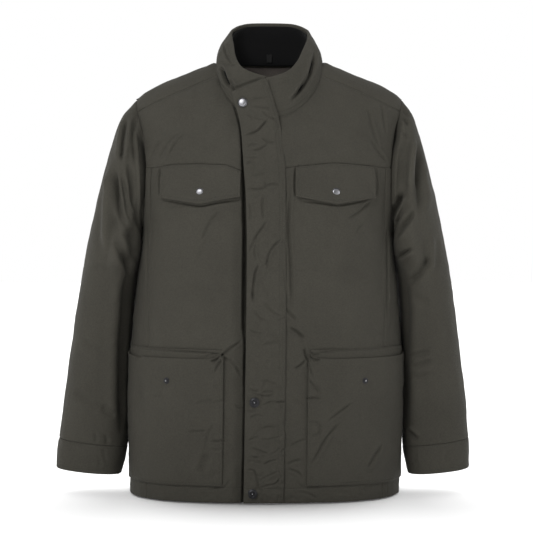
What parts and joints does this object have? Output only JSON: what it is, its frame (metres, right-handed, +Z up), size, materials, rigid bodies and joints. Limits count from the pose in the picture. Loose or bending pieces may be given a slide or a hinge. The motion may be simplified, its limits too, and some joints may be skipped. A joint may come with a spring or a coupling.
{
  "type": "padded field jacket",
  "caption": "Olive padded field jacket with a stand collar lined in black rib knit, a snapped storm flap, pointed chest flaps and patch pockets.",
  "frame": {"origin": "midway between the two sides of the neck seam, just below the tops of the shoulders there, where the jacket is held by its wearer or a hanger", "axes": "+Z up, -Y out of the front, +X to the wearer's left"},
  "size_m": [0.7332, 0.2808, 0.8422],
  "materials": {
    "shell_cloth": "matt, tightly woven, lightly padded",
    "rib_knit": "fine black rib knit",
    "lining_cloth": "smooth dark brown lining",
    "snap_metal": "dark polished nickel"
  },
  "bodies": {
    "root": {"front_yoke_l": "shell_cloth", "front_yoke_r": "shell_cloth", "front_l": "shell_cloth", "front_r": "shell_cloth", "side_l": "shell_cloth", "side_r": "shell_cloth", "back": "shell_cloth", "sleeve_l": "shell_cloth", "sleeve_r": "shell_cloth", "cuff_l": "shell_cloth", "cuff_r": "shell_cloth", "collar": "shell_cloth", "storm_flap": "shell_cloth", "chest_flap_l": "shell_cloth", "chest_flap_r": "shell_cloth", "pocket_l": "shell_cloth", "pocket_r": "shell_cloth", "pocket_flap_l": "shell_cloth", "pocket_flap_r": "shell_cloth", "collar_knit": "rib_knit", "neck_loop": "rib_knit", "neck_lining": "lining_cloth", "snap_storm_top": "snap_metal", "snap_storm_middle": "snap_metal", "snap_storm_low": "snap_metal", "snap_chest_l": "snap_metal", "snap_chest_r": "snap_metal", "stud_pocket_l": "snap_metal", "stud_pocket_r": "snap_metal"}
  },
  "joints": []
}
